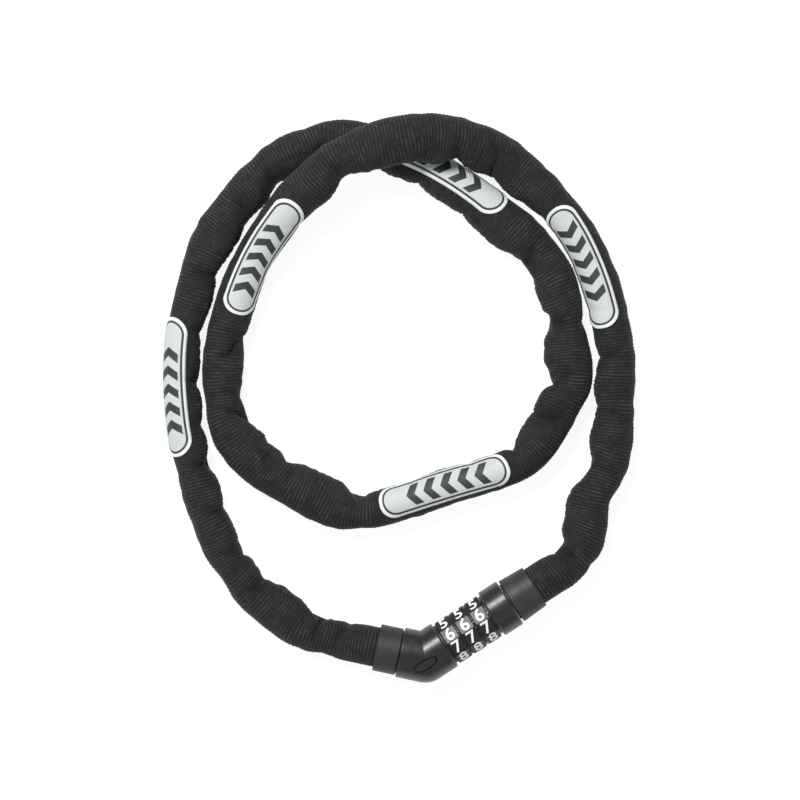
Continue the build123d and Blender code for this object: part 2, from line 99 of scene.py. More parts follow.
# ---------------------------------------------------------------- the sleeve's route
# From the collar on the elbow's arm, round the outer and then the inner loop, over the first
# turn, and back along the outside to the bolt's cap: the same points as the CAD tube's.
ROUTE = [
    (-0.03016, 0.00866, 0.0106), (-0.03706, 0.01556, 0.0105), (-0.04413, 0.02263, 0.0098),
    (-0.0552, 0.0339, 0.0089), (-0.0642, 0.0534, 0.0085), (-0.0692, 0.0734, 0.0085),
    (-0.0667, 0.0959, 0.0085), (-0.0612, 0.1159, 0.0085), (-0.0532, 0.1379, 0.0085),
    (-0.0382, 0.1639, 0.0085), (-0.0207, 0.1824, 0.0085), (-0.0032, 0.1969, 0.0085),
    (0.0178, 0.2059, 0.0085), (0.0398, 0.2089, 0.0085), (0.0603, 0.2049, 0.0085),
    (0.0778, 0.1919, 0.0085), (0.0908, 0.1734, 0.0085), (0.1003, 0.1539, 0.0085),
    (0.1083, 0.1279, 0.0085), (0.1103, 0.1069, 0.0085), (0.1048, 0.0834, 0.0085),
    (0.0943, 0.0649, 0.0085), (0.0818, 0.0554, 0.0085), (0.0688, 0.0464, 0.0085),
    (0.0528, 0.0454, 0.0085), (0.0328, 0.0519, 0.0085), (0.0118, 0.0579, 0.0085),
    (-0.0072, 0.0629, 0.0085), (-0.0182, 0.0719, 0.0085), (-0.0262, 0.0859, 0.0085),
    (-0.0332, 0.1009, 0.0085), (-0.0377, 0.1159, 0.0085), (-0.0342, 0.1364, 0.0085),
    (-0.0227, 0.1539, 0.0085), (-0.0062, 0.1694, 0.0085), (0.0143, 0.1829, 0.0105),
    (0.0408, 0.1919, 0.0195), (0.0648, 0.1944, 0.0255), (0.0868, 0.1864, 0.0255),
    (0.1058, 0.1769, 0.0195), (0.1188, 0.1629, 0.011), (0.1268, 0.1434, 0.0085),
    (0.1313, 0.1204, 0.0085), (0.1273, 0.0919, 0.0085), (0.1183, 0.0674, 0.0085),
    (0.1063, 0.0479, 0.0085), (0.0938, 0.0319, 0.0085), (0.0768, 0.0189, 0.0086),
    (0.0648, 0.0069, 0.0092), (0.052, 0.0, 0.0101), (0.0395, 0.0, 0.0105),
    (0.027, 0.0, 0.0106),
]
# On the lock the stretch between these two places bends as the bolt is drawn; here it is built as pieces
# of its own, attached to neither body.
FLEX_START = Vector((0.1123, 0.1699, 0.0085))
FLEX_END = Vector((0.1123, 0.05765, 0.0085))


def read_route():
    """Points along the route's NURBS spline."""
    curve = bpy.data.curves.new("route", "CURVE")
    curve.dimensions = "3D"
    curve.resolution_u = 24
    spline = curve.splines.new("NURBS")
    spline.points.add(len(ROUTE) - 1)
    for point, place in zip(spline.points, ROUTE):
        point.co = (*place, 1)
    spline.order_u = 3
    spline.use_endpoint_u = True
    route_object = bpy.data.objects.new("route", curve)
    bpy.context.scene.collection.objects.link(route_object)
    mesh = bpy.data.meshes.new_from_object(route_object)
    points = np.array([v.co for v in mesh.vertices], float)
    bpy.data.objects.remove(route_object)
    bpy.data.meshes.remove(mesh)
    return points


route_points = read_route()
route_steps = np.linalg.norm(np.diff(route_points, axis=0), axis=1)
route_points = route_points[np.concatenate([[True], route_steps > 1e-7])]
route_steps = np.linalg.norm(np.diff(route_points, axis=0), axis=1)
route_along = np.concatenate([[0], np.cumsum(route_steps)])
ROUTE_LENGTH = float(route_along[-1])

TANGENT_REACH = 2.5 * MM


def route_at(along):
    """The route's points at these distances from its start."""
    return np.stack([np.interp(along, route_along, route_points[:, k]) for k in range(3)], axis=-1)


def route_frames(along):
    """Points, and the unit vectors onward, up and to the right of travel, which is the inner side."""
    points = route_at(along)
    onward = route_at(along + TANGENT_REACH) - route_at(along - TANGENT_REACH)
    onward /= np.linalg.norm(onward, axis=-1, keepdims=True)
    right = np.cross(onward, (0, 0, 1))
    right /= np.linalg.norm(right, axis=-1, keepdims=True)
    return points, onward, np.cross(right, onward), right


def along_nearest(place):
    """The distance along the route of the point nearest to this place."""
    gaps = np.linalg.norm(route_points - np.array(place), axis=1)
    return float(route_along[int(gaps.argmin())])


FLEX_FROM = along_nearest(FLEX_START)
FLEX_TO = along_nearest(FLEX_END)

# ---------------------------------------------------------------- the chain inside the sleeve
WIRE_R = 1.8 * MM
LINK_HALF = 5.0 * MM
LINK_END_R = 4.6 * MM
LINK_PITCH = 15.6 * MM
FIRST_LINK = 4.75 * MM  # from the route's start
LAST_LINK = 12.2 * MM  # from the route's end
LINK_SIDES = 12
LINK_TURN_STEPS = 12


def link_outline():
    """The centreline of one link in its own plane, each point with its outward direction."""
    outline = []
    for side in (1, -1):
        for k in range(LINK_TURN_STEPS + 1):
            turn = math.pi * (k / LINK_TURN_STEPS - 0.5)
            out = (side * math.cos(turn), side * math.sin(turn))
            outline.append((side * LINK_HALF + LINK_END_R * out[0], LINK_END_R * out[1], *out))
        for share in (0.6, 0.2, -0.2, -0.6):
            outline.append((side * share * LINK_HALF, side * LINK_END_R, 0, side))
    return np.array(outline)


def place_links():
    """Each link's surface points as a ring of rings, with its middle's distance along the route."""
    outline = link_outline()
    spacing = round((ROUTE_LENGTH - LAST_LINK - FIRST_LINK) / LINK_PITCH)
    centres = np.linspace(FIRST_LINK, ROUTE_LENGTH - LAST_LINK, spacing + 1)
    points, onward, up, right = route_frames(centres)
    reach = LINK_HALF + LINK_END_R
    ahead, behind = route_at(centres + reach), route_at(centres - reach)
    # in a bend a link's middle stands off the route by half its sagitta
    points = points + ((ahead + behind) / 2 - points) / 2
    swing = 2 * math.pi * np.arange(LINK_SIDES) / LINK_SIDES
    placed = []
    for k in range(len(centres)):
        run = ahead[k] - behind[k]
        forward = onward[k] if k in (0, len(centres) - 1) else run / np.linalg.norm(run)
        turn = math.radians(45 if k % 2 else -45)
        wide = up[k] * math.cos(turn) + right[k] * math.sin(turn)
        wide = wide - forward * np.dot(wide, forward)
        wide /= np.linalg.norm(wide)
        deep = np.cross(forward, wide)
        line = points[k] + outline[:, :1] * forward + outline[:, 1:2] * wide
        out = outline[:, 2:3] * forward + outline[:, 3:] * wide
        ring = out[:, None] * np.cos(swing)[:, None] + deep * np.sin(swing)[:, None]
        placed.append((centres[k], line[:, None] + WIRE_R * ring))
    return placed


link_places = place_links()
links = {
    "root": [rings for middle, rings in link_places if middle < FLEX_FROM],
    "flex": [rings for middle, rings in link_places if FLEX_FROM <= middle < FLEX_TO],
    "bolt": [rings for middle, rings in link_places if middle >= FLEX_TO],
}

# How far the links push the sleeve out: a grid of 1 mm steps along the route by even angles.
PUSH_SIDES = 48
PUSH_STEP = 1.0 * MM
PUSH_MARGIN = 0.6 * MM


def link_push():
    """The least radius that clears the links, for each step along the route and each angle."""
    count = int(ROUTE_LENGTH / PUSH_STEP) + 2
    push = np.zeros((count, PUSH_SIDES))
    stations = np.arange(count) * PUSH_STEP
    points, onward, up, right = route_frames(stations)
    for middle, rings in link_places:
        low = max(int((middle - 16 * MM) / PUSH_STEP), 0)
        high = min(int((middle + 16 * MM) / PUSH_STEP) + 1, count)
        spots = rings.reshape(-1, 3)
        offsets = spots[:, None] - points[None, low:high]
        nearest = np.abs((offsets * onward[None, low:high]).sum(-1)).argmin(1)
        offset = offsets[np.arange(len(spots)), nearest]
        nearest += low
        rise = (offset * up[nearest]).sum(-1)
        side = (offset * right[nearest]).sum(-1)
        place = np.round(np.arctan2(side, rise) / (2 * math.pi) * PUSH_SIDES).astype(int) % PUSH_SIDES
        np.maximum.at(push, (nearest, place), np.hypot(rise, side))
    # fill between the sampled spots, then soften
    for _ in range(2):
        wider = np.maximum(np.roll(push, 1, 1), np.roll(push, -1, 1))
        push = np.maximum(push, wider)
        padded = np.pad(push, ((1, 1), (0, 0)), "edge")
        push = np.maximum(push, np.maximum(padded[:-2], padded[2:]))
    least = push - 0.1 * MM
    for _ in range(4):
        softer = (np.roll(push, 1, 1) + np.roll(push, -1, 1) + 2 * push) / 4
        padded = np.pad(softer, ((1, 1), (0, 0)), "edge")
        push = np.maximum((padded[:-2] + padded[2:] + 2 * softer) / 4, least)
    return push + PUSH_MARGIN


link_pushes = link_push()


def pushed_out(along, angle):
    """The least radius that clears the links at these places, between the grid's values."""
    row = np.clip(along / PUSH_STEP, 0, len(link_pushes) - 1.001)
    column = (angle / (2 * math.pi) * PUSH_SIDES) % PUSH_SIDES
    low, left = np.floor(row).astype(int), np.floor(column).astype(int)
    down, across = row - low, column - left
    left = left % PUSH_SIDES
    next_left = (left + 1) % PUSH_SIDES
    first = link_pushes[low, left] * (1 - across) + link_pushes[low, next_left] * across
    second = link_pushes[low + 1, left] * (1 - across) + link_pushes[low + 1, next_left] * across
    return first * (1 - down) + second * down


# ---------------------------------------------------------------- the sleeve's shape
# Sleeve surface: a radius for each distance along the route and each angle round it. The angle is
# 0 on top and grows towards the inner side of the loops.
SLEEVE_R = 7.7 * MM
SLEEVE_END_R = 8.35 * MM
END_FADE = 12 * MM
INNER_SIDE = math.radians(88)
OUTER_SIDE = math.radians(-90)
SIDE_SPREAD = math.radians(60)
RIB_PITCH = 1.4 * MM
RIB_HEIGHT = 0.1 * MM

# How far the sleeve's inner side stands off the route, in millimetres: along, then out. A low
# value between two higher ones is a fold. The values were picked and rounded from a scratch
# script's trace of the sleeve's outline, and some were then adjusted.
INNER = [
    (0, 8.4), (14, 8.1), (22, 6.8), (28, 7.7), (35, 4.5), (46, 8.5), (58, 9.8), (66, 5.7),
    (78, 8.2), (83, 6.6), (95, 8.5), (105, 7.6), (114, 8.6), (125, 5.3), (135, 8.2), (142, 6.9),
    (150, 8.7), (160, 6.8), (170, 8.4), (182, 6.8), (198, 9.8), (209, 8.5), (230, 11.3),
    (241, 9.9), (250, 10.5), (262, 7.5), (276, 9.6), (288, 7.6), (300, 9.6), (311, 8.0),
    (322, 9.4), (331, 8.0), (345, 9.9), (356, 8.7), (370, 10.5), (380, 9.5), (392, 4.2),
    (412, 8.3), (419, 4.5), (436, 11.6), (450, 6.0), (460, 10.9), (466, 10.6), (477, 12.0),
    (490, 5.8), (500, 9.0), (511, 7.4), (523, 9.0), (536, 7.2), (548, 8.6), (561, 5.0),
    (574, 10.8), (587, 10.3), (598, 6.5), (605, 8.9), (610, 8.2), (616, 9.4), (626, 5.6),
    (632, 7.4), (638, 6.2), (652, 8.4), (666, 6.6), (676, 9.2), (697, 6.4), (714, 8.8),
    (724, 7.6), (742, 10.3), (754, 6.2), (766, 8.8), (778, 9.4), (790, 8.6), (798, 11.0),
    (808, 7.6), (820, 11.0), (830, 10.4), (841, 11.9), (850, 11.0), (860, 7.4), (872, 8.8),
    (886, 7.4), (900, 8.8), (908, 7.8), (920, 9.0), (930, 7.2), (943, 9.9), (952, 8.5), (966, 10.1),
    (979, 5.0), (996, 12.0), (1018, 5.2), (1031, 7.9), (1045, 8.4),
]
OUTER = [
    (0, 8.4), (14, 8.8), (30, 7.7), (42, 9.4), (58, 9.4), (78, 6.8), (92, 8.0), (124, 7.2),
    (150, 7.0), (170, 6.6), (206, 6.4), (220, 7.4), (242, 6.3), (258, 7.3), (274, 9.2),
    (282, 8.3), (300, 9.9), (320, 8.6), (340, 7.1), (358, 7.2), (374, 9.4), (388, 10.2),
    (402, 10.2), (414, 9.3), (424, 6.5), (448, 9.5), (458, 7.8), (474, 5.6), (494, 6.3), (550, 7.2),
    (560, 7.0), (568, 9.1), (590, 9.2), (622, 10.6), (638, 8.4), (655, 8.6), (675, 8.9),
    (700, 8.0), (735, 8.6), (762, 9.0), (788, 11.3), (802, 10.0), (814, 8.9), (846, 6.9),
    (862, 6.1), (914, 7.5), (932, 7.6), (948, 6.6), (974, 9.0), (992, 5.4), (1011, 8.8),
    (1016, 7.7), (1026, 8.6), (1045, 8.4),
]
FOLDS = [here[0] for before, here, after in zip(INNER, INNER[1:], INNER[2:])
         if here[1] < before[1] and here[1] < after[1]]


def side_profile(places, along):
    """How far a side stands off the route: round on its rises and sharp in its folds."""
    stations = np.array([place[0] for place in places]) * MM
    heights = np.array([place[1] for place in places]) * MM
    index = np.clip(np.searchsorted(stations, along) - 1, 0, len(stations) - 2)
    low, high = heights[index], heights[index + 1]
    share = np.clip((along - stations[index]) / (stations[index + 1] - stations[index]), 0, 1)
    quarter = share * math.pi / 2
    return low + (high - low) * np.where(high > low, np.sin(quarter), 1 - np.cos(quarter))


def calmed_profile(places, along, calm):
    """The side's profile, evened out where calm is under 1."""
    here = side_profile(places, along)
    even = sum(side_profile(places, along + shift * MM) for shift in (-20, -10, 0, 10, 20)) / 5
    return even + (here - even) * calm


rng = np.random.default_rng(7)
fold_places = np.array(FOLDS) * MM
fold_depths = rng.uniform(0.55, 1.25, len(FOLDS))
fold_reach = rng.uniform(0.6, 1.4, len(FOLDS))


def waves(along, angle, count, length, seed, turns=3):
    """Smooth noise on the sleeve, about -1 to 1, with features of about this length."""
    draw = np.random.default_rng(seed)
    total = np.zeros(np.broadcast(along, angle).shape)
    for _ in range(count):
        rate = 2 * math.pi / length * draw.uniform(0.55, 1.6)
        turn = draw.integers(-turns, turns + 1)
        total += np.sin(rate * along + turn * angle + draw.uniform(0, 2 * math.pi))
    return total / math.sqrt(count)


def envelope(angle, centre, spread):
    """A smooth bump round the sleeve, 1 at its centre."""
    gap = np.abs((angle - centre + math.pi) % (2 * math.pi) - math.pi)
    return np.exp(-((gap / spread) ** 2))


SLEEVE_SIDES = 72
PATCHES = [
    # name, middle along the sleeve, angle faced, both from the CAD patches' places
    ("patch_1", 0.1590, -37),
    ("patch_2", 0.3400, -31),
    ("patch_3", 0.5230, 16),
    ("patch_4", 0.7035, 15),
    ("patch_5", 0.8890, 32),
]
PATCH_LENGTH = 57 * MM
PATCH_WIDTH = 15 * MM


def near_patch(along, angle):
    """1 under a patch, falling to 0 a little way off it."""
    total = np.zeros(np.broadcast(along, angle).shape)
    for _, middle, facing in PATCHES:
        out = np.maximum(np.abs(along - middle) - PATCH_LENGTH / 2, 0) / (5 * MM)
        turn = (angle - math.radians(facing) + math.pi) % (2 * math.pi) - math.pi
        beside = np.maximum(np.abs(turn) * SLEEVE_R - PATCH_WIDTH / 2, 0) / (4 * MM)
        total = np.maximum(total, np.exp(-(out**2) - beside**2))
    return total


def folded_along(along, angle):
    """The distance along the sleeve as its folds see it: they slant and wander across it."""
    swing = (angle - INNER_SIDE + math.pi) % (2 * math.pi) - math.pi
    lean = 3.2 * MM * waves(along, 0 * angle, 6, 70 * MM, 15, 0)
    return along + lean * swing + 1.0 * MM * waves(along, angle, 5, 18 * MM, 13, 3)


def creases(folded, angle):
    """Each fold runs up over the top as a crease that fades out: its sharp line and soft hollow."""
    between = (fold_places[1:] + fold_places[:-1]) / 2
    nearer = np.clip(np.searchsorted(between, folded), 0, len(FOLDS) - 1)
    to_fold = np.abs(folded - fold_places[nearer])
    reach = math.radians(46) * fold_reach[nearer]
    depth = fold_depths[nearer] * envelope(angle, math.radians(32), reach)
    return depth * np.exp(-to_fold / (1.1 * MM)), depth * np.exp(-((to_fold / (4.5 * MM)) ** 2))


def fold_shade(along, angle):
    """How dark the textile's colour is painted in its folds, 0 to 1: painted shade in the creases, less
    near the patches.
    """
    sharp, soft = creases(folded_along(along, angle), angle)
    return np.clip(0.75 * sharp + 0.3 * soft, 0, 0.85) * (1 - near_patch(along, angle))


def sleeve_radius(along, angle):
    """The sleeve's radius at these distances along it and angles round it."""
    along, angle = np.broadcast_arrays(along, angle)
    calm = 1 - 0.85 * near_patch(along, angle)
    folded = folded_along(along, angle)
    inner = calmed_profile(INNER, folded, calm)
    outer = calmed_profile(OUTER, along, calm)
    # the fabric's girth is the same everywhere, so it is flatter where it is wider
    radius = SLEEVE_R - 0.3 * ((inner + outer) / 2 - 8 * MM)
    across = envelope(angle, INNER_SIDE, SIDE_SPREAD)
    radius = radius + (inner - radius) * across
    radius = radius + (outer - radius) * envelope(angle, OUTER_SIDE, SIDE_SPREAD)
    sharp, soft = creases(folded, angle)
    folds = -1.5 * MM * sharp - 0.6 * MM * soft
    # small gathers between the folds, mostly on the slack inner side
    slack = 0.35 + envelope(angle, math.radians(60), math.radians(60))
    gather = np.abs(waves(folded, angle, 6, 9 * MM, 14, 2))
    folds -= 0.32 * MM * slack * np.exp(-((gather / 0.3) ** 2))
    folds += 0.22 * MM * waves(along, angle, 7, 34 * MM, 11, 2)
    folds += 0.12 * MM * waves(along, angle, 9, 9 * MM, 12, 4)
    radius = radius + calm * folds
    # the links inside hold it out
    limit = pushed_out(along, angle)
    over = 0.3 * MM
    radius = limit + over * np.logaddexp(0, (radius - limit) / over)
    # into the collar and the cap the sleeve is round
    inside = np.minimum(along, ROUTE_LENGTH - along)
    loose = np.clip((inside - END_FADE) / END_FADE, 0, 1)
    loose = loose * loose * (3 - 2 * loose)
    return SLEEVE_END_R + (radius - SLEEVE_END_R) * loose


# The upper turn lies on the lower one between these distances, and is pressed flat against it.
UNDER = (0.215, 0.365)
OVER = (0.690, 0.850)
FLOOR = 0.15 * MM
REST_GAP = 0.12 * MM


def tube_surface(along, angle, proud):
    points, _, up, right = route_frames(along)
    radius = (sleeve_radius(along, angle) + proud)[..., None]
    return points + radius * (up * np.cos(angle)[..., None] + right * np.sin(angle)[..., None])


def rest_on_lower(placed):
    """Moves points that would sink into the lower turn out to its surface."""
    stations = np.arange(UNDER[0], UNDER[1], 0.5 * MM)
    points, onward, up, right = route_frames(stations)
    near = np.nonzero(placed[:, 2] < 24 * MM)[0]
    for part in np.array_split(near, max(len(near) // 4000, 1)):
        offsets = placed[part, None] - points[None]
        nearest = (offsets**2).sum(-1).argmin(1)
        offset = offsets[np.arange(len(part)), nearest]
        offset -= (offset * onward[nearest]).sum(-1)[:, None] * onward[nearest]
        rise = (offset * up[nearest]).sum(-1)
        side = (offset * right[nearest]).sum(-1)
        distance = np.hypot(rise, side)
        least = sleeve_radius(stations[nearest], np.arctan2(side, rise)) + REST_GAP + RIB_HEIGHT
        lift = np.maximum(least - distance, 0) * (distance < 2 * SLEEVE_R)
        placed[part] += offset / distance[:, None] * lift[:, None]
    return placed


def sleeve_surface(along, angle, proud=0.0):
    """Points on the sleeve, lifted off it by proud."""
    along, angle = np.broadcast_arrays(along, angle)
    placed = tube_surface(along, angle, proud)
    upper = (along > OVER[0]) & (along < OVER[1])
    if upper.any():
        placed[upper] = rest_on_lower(placed[upper])
    # where it rests on the floor it is flat
    placed[..., 2] = np.maximum(placed[..., 2], FLOOR)
    return placed


def mesh_object(name, vertices, faces, smooth=True):
    mesh = bpy.data.meshes.new(name)
    mesh.from_pydata([tuple(v) for v in vertices], [], faces)
    mesh.polygons.foreach_set("use_smooth", [smooth] * len(mesh.polygons))
    mesh.update()
    piece = bpy.data.objects.new(name, mesh)
    bpy.context.scene.collection.objects.link(piece)
    return piece


def make_chain(name, rings_list):
    """One mesh of all these links."""
    vertices, faces = [], []
    for rings in rings_list:
        base = len(vertices)
        count, sides = rings.shape[:2]
        vertices.extend(rings.reshape(-1, 3))
        for i in range(count):
            a, b = base + i * sides, base + (i + 1) % count * sides
            for j in range(sides):
                m = (j + 1) % sides
                faces.append((a + j, a + m, b + m, b + j))
    return mesh_object(name, vertices, faces)


def point_values(piece, name, values):
    """A float for each vertex, which the piece's material reads."""
    attribute = piece.data.attributes.new(name, "FLOAT", "POINT")
    attribute.data.foreach_set("value", np.asarray(values, np.float32).ravel())


def make_sleeve(name, start, end):
    """A closed tube of ribbed textile from start to end, in metres along the route."""
    first = round(start / (RIB_PITCH / 2))
    last = round(end / (RIB_PITCH / 2))
    rings = np.arange(first, last + 1)
    along = rings[:, None] * (RIB_PITCH / 2)
    along = along + (start - along[0, 0]) * (1 - (along - along[0, 0]) / (along[-1, 0] - along[0, 0]))
    along = np.clip(along, start, end)
    along[0], along[-1] = start, end
    angle = (np.arange(SLEEVE_SIDES) / SLEEVE_SIDES * 2 * math.pi)[None, :]
    # ribs wander a little along the sleeve, but not at the piece's own ends
    from_end = np.clip(np.minimum(along - start, end - along) / (4 * MM), 0, 1)
    wander = 0.42 * MM * waves(along, angle, 8, 26 * MM, 21, 3) * from_end
    strength = np.clip(0.75 + 0.4 * waves(along, angle, 6, 13 * MM, 22, 5), 0.1, 1.3)
    strength = strength * (1 - 0.75 * near_patch(along, angle))
    crest = np.where(rings[:, None] % 2 == 0, 1.0, -1.0) * strength
    placed = sleeve_surface(along + wander, np.broadcast_to(angle, wander.shape), RIB_HEIGHT * crest)
    count = len(rings)
    faces = []
    for i in range(count - 1):
        a, b = i * SLEEVE_SIDES, (i + 1) * SLEEVE_SIDES
        for j in range(SLEEVE_SIDES):
            k = (j + 1) % SLEEVE_SIDES
            faces.append((a + j, b + j, b + k, a + k))
    vertices = list(placed.reshape(-1, 3))
    ends = route_at(np.array([start, end]))
    for centre, ring, flip in ((ends[0], 0, False), (ends[1], count - 1, True)):
        vertices.append(centre)
        middle = len(vertices) - 1
        for j in range(SLEEVE_SIDES):
            pair = (ring * SLEEVE_SIDES + j, ring * SLEEVE_SIDES + (j + 1) % SLEEVE_SIDES)
            faces.append((middle, *pair) if not flip else (middle, *pair[::-1]))
    piece = mesh_object(name, vertices, faces)
    point_values(piece, "rib", np.concatenate([crest.ravel(), [0, 0]]))
    # painted shade for the folds, stored as the fold attribute for the material to darken the colour
    shade = fold_shade(along + wander, np.broadcast_to(angle, wander.shape))
    point_values(piece, "fold", np.concatenate([shade.ravel(), [0, 0]]))
    return piece, route_at(np.linspace(start, end, max(int((end - start) / (2 * MM)), 8)))


def make_patch(name, middle, facing):
    """A thin reflective stadium that follows the sleeve under it."""
    columns, rows = 97, 25
    half_length, half_width = PATCH_LENGTH / 2, PATCH_WIDTH / 2
    # columns crowd towards the rounded ends
    spread = np.sin(np.linspace(-1, 1, columns) * math.radians(84)) / math.sin(math.radians(84))
    u = spread * half_length * 0.9985
    past = np.maximum(np.abs(u) - (half_length - half_width), 0)
    width = np.sqrt(np.maximum(half_width**2 - past**2, (0.3 * MM) ** 2))
    v = np.linspace(-1, 1, rows)[None, :] * width[:, None]
    along = np.broadcast_to((middle + u)[:, None], v.shape)
    angle = math.radians(facing) + v / SLEEVE_R
    thickness = 0.5 * MM
    edge = np.minimum(half_width - np.abs(v), (half_length - np.abs(u))[:, None])
    rounding = np.clip(edge / (0.8 * MM), 0, 1)
    top = sleeve_surface(along, angle, 0.2 * MM + thickness * np.sqrt(1 - (1 - rounding) ** 2))
    under = sleeve_surface(along, angle, -0.5 * MM)
    vertices = np.concatenate([top.reshape(-1, 3), under.reshape(-1, 3)])
    faces = []
    offset = columns * rows
    for i in range(columns - 1):
        for j in range(rows - 1):
            a, b = i * rows + j, (i + 1) * rows + j
            faces.append((a, a + 1, b + 1, b))
            faces.append((offset + a, offset + b, offset + b + 1, offset + a + 1))
        for j, flip in ((0, False), (rows - 1, True)):
            a, b = i * rows + j, (i + 1) * rows + j
            side = (a, b, offset + b, offset + a)
            faces.append(side if not flip else side[::-1])
    for i, flip in ((0, True), (columns - 1, False)):
        for j in range(rows - 1):
            a, b = i * rows + j, i * rows + j + 1
            side = (a, b, offset + b, offset + a)
            faces.append(side if not flip else side[::-1])
    piece = mesh_object(name, vertices, faces)
    u_all = np.broadcast_to(u[:, None], v.shape).ravel()
    point_values(piece, "across_u", np.concatenate([u_all, u_all]))
    point_values(piece, "across_v", np.concatenate([v.ravel(), v.ravel()]))
    return piece


# ---------------------------------------------------------------- material helpers
class Nodes:
    """A material with a Principled shader, and short calls to add nodes to it."""

    def __init__(self, name):
        self.material = bpy.data.materials.new(name)
        self.material.use_nodes = True
        self.tree = self.material.node_tree
        self.shader = self.tree.nodes["Principled BSDF"]

    def link(self, source, target):
        self.tree.links.new(source, target)

    def set(self, **sockets):
        for name, value in sockets.items():
            self.shader.inputs[name.replace("_", " ")].default_value = value

    def node(self, kind, **settings):
        made = self.tree.nodes.new(kind)
        for name, value in settings.items():
            setattr(made, name, value)
        return made

    def attribute(self, name):
        return self.node("ShaderNodeAttribute", attribute_name=name).outputs["Fac"]

    def coordinates(self):
        return self.node("ShaderNodeTexCoord").outputs["Object"]

    def noise(self, scale, detail=4.0, roughness=0.55, stretch=None):
        made = self.node("ShaderNodeTexNoise")
        made.inputs["Scale"].default_value = scale
        made.inputs["Detail"].default_value = detail
        made.inputs["Roughness"].default_value = roughness
        source = self.coordinates()
        if stretch:
            mapping = self.node("ShaderNodeMapping")
            mapping.inputs["Scale"].default_value = stretch
            self.link(source, mapping.inputs["Vector"])
            source = mapping.outputs["Vector"]
        self.link(source, made.inputs["Vector"])
        return made.outputs["Fac"]

    def math(self, operation, a, b=None, clamp=False):
        made = self.node("ShaderNodeMath", operation=operation, use_clamp=clamp)
        for socket, value in zip(made.inputs, (a, b)):
            if value is None:
                continue
            if isinstance(value, (int, float)):
                socket.default_value = value
            else:
                self.link(value, socket)
        return made.outputs[0]

    def remap(self, value, low, high, to_low=0.0, to_high=1.0):
        made = self.node("ShaderNodeMapRange")
        self.link(value, made.inputs["Value"])
        limits = {"From Min": low, "From Max": high, "To Min": to_low, "To Max": to_high}
        for name, number in limits.items():
            made.inputs[name].default_value = number
        return made.outputs["Result"]

    def mix(self, share, first, second):
        """Colour: first where share is 0, second where it is 1."""
        made = self.node("ShaderNodeMix", data_type="RGBA")
        for index, value in ((0, share), (6, first), (7, second)):
            socket = made.inputs[index]
            if isinstance(value, (int, float)):
                socket.default_value = value
            elif isinstance(value, tuple):
                socket.default_value = (*value, 1)
            else:
                self.link(value, socket)
        return made.outputs[2]

    def bump(self, height, distance, strength=1.0):
        made = self.node("ShaderNodeBump")
        made.inputs["Distance"].default_value = distance
        made.inputs["Strength"].default_value = strength
        self.link(height, made.inputs["Height"])
        self.link(made.outputs["Normal"], self.shader.inputs["Normal"])

    def colour(self, source):
        self.link(source, self.shader.inputs["Base Color"])

    def roughness(self, source):
        self.link(source, self.shader.inputs["Roughness"])


def moulded_plastic(name, colour, rough, grain=0.02 * MM, lighter=1.5, gloss=0.5):
    """Black moulded plastic: fine spark grain and faint paler blotches."""
    made = Nodes(name)
    blotch = made.noise(90, 5)
    wear = made.noise(420, 6, 0.7)
    share = made.remap(made.math("MULTIPLY", blotch, wear), 0.2, 0.42)
    pale = tuple(c * lighter for c in colour)
    made.colour(made.mix(share, colour, pale))
    made.roughness(made.remap(made.noise(260, 4), 0.3, 0.7, rough - 0.05, rough + 0.07))
    made.bump(made.noise(3600, 2), grain, 0.35)
    made.set(Specular_IOR_Level=gloss)
    return made.material


def metal(name, colour, rough, stretch=None, grain=0.01 * MM):
    """Bare or plated metal with fine turning marks."""
    made = Nodes(name)
    marks = made.noise(700, 4, 0.6, stretch)
    darker = tuple(c * 0.7 for c in colour)
    made.colour(made.mix(made.remap(marks, 0.35, 0.7), colour, darker))
    made.roughness(made.remap(marks, 0.3, 0.7, rough - 0.06, rough + 0.1))
    made.bump(marks, grain, 0.4)
    made.set(Metallic=1.0)
    return made.material


def textile():
    """Black ribbed textile: thread grain, with the rib crests painted paler and the grooves between them
    painted darker as painted highlight and shade, and painted shade in the folds.
    """
    made = Nodes("sleeve_textile")
    rib = made.attribute("rib")
    threads = made.noise(1500, 4, 0.75)
    broken = made.remap(made.noise(420, 3, 0.6), 0.34, 0.62, 0.15, 1.0)
    # painted highlight and shade of the ribs: pale on the crests, dark in the grooves, broken up by
    # thread grain and random patches
    crest = made.remap(made.math("ADD", rib, made.math("MULTIPLY", threads, 1.6)), 0.5, 2.1)
    patchy = made.remap(made.noise(130, 4, 0.6), 0.32, 0.7, 0.35, 1.0)
    share = made.math("MULTIPLY", made.math("MULTIPLY", crest, broken), patchy, clamp=True)
    lit = made.mix(share, (0.0085, 0.0088, 0.009), (0.078, 0.078, 0.076))
    # painted shade in the folds: the colour darkens where the fold attribute is high
    made.colour(made.mix(made.attribute("fold"), lit, (0.0035, 0.0036, 0.0038)))
    made.roughness(made.remap(threads, 0.3, 0.7, 0.72, 0.92))
    made.bump(threads, 0.16 * MM, 0.9)
    made.set(Sheen_Weight=0.06, Sheen_Roughness=0.5, Specular_IOR_Level=0.22)
    return made.material


BAR_PITCH = 7.4 * MM
BAR_COUNT = 5


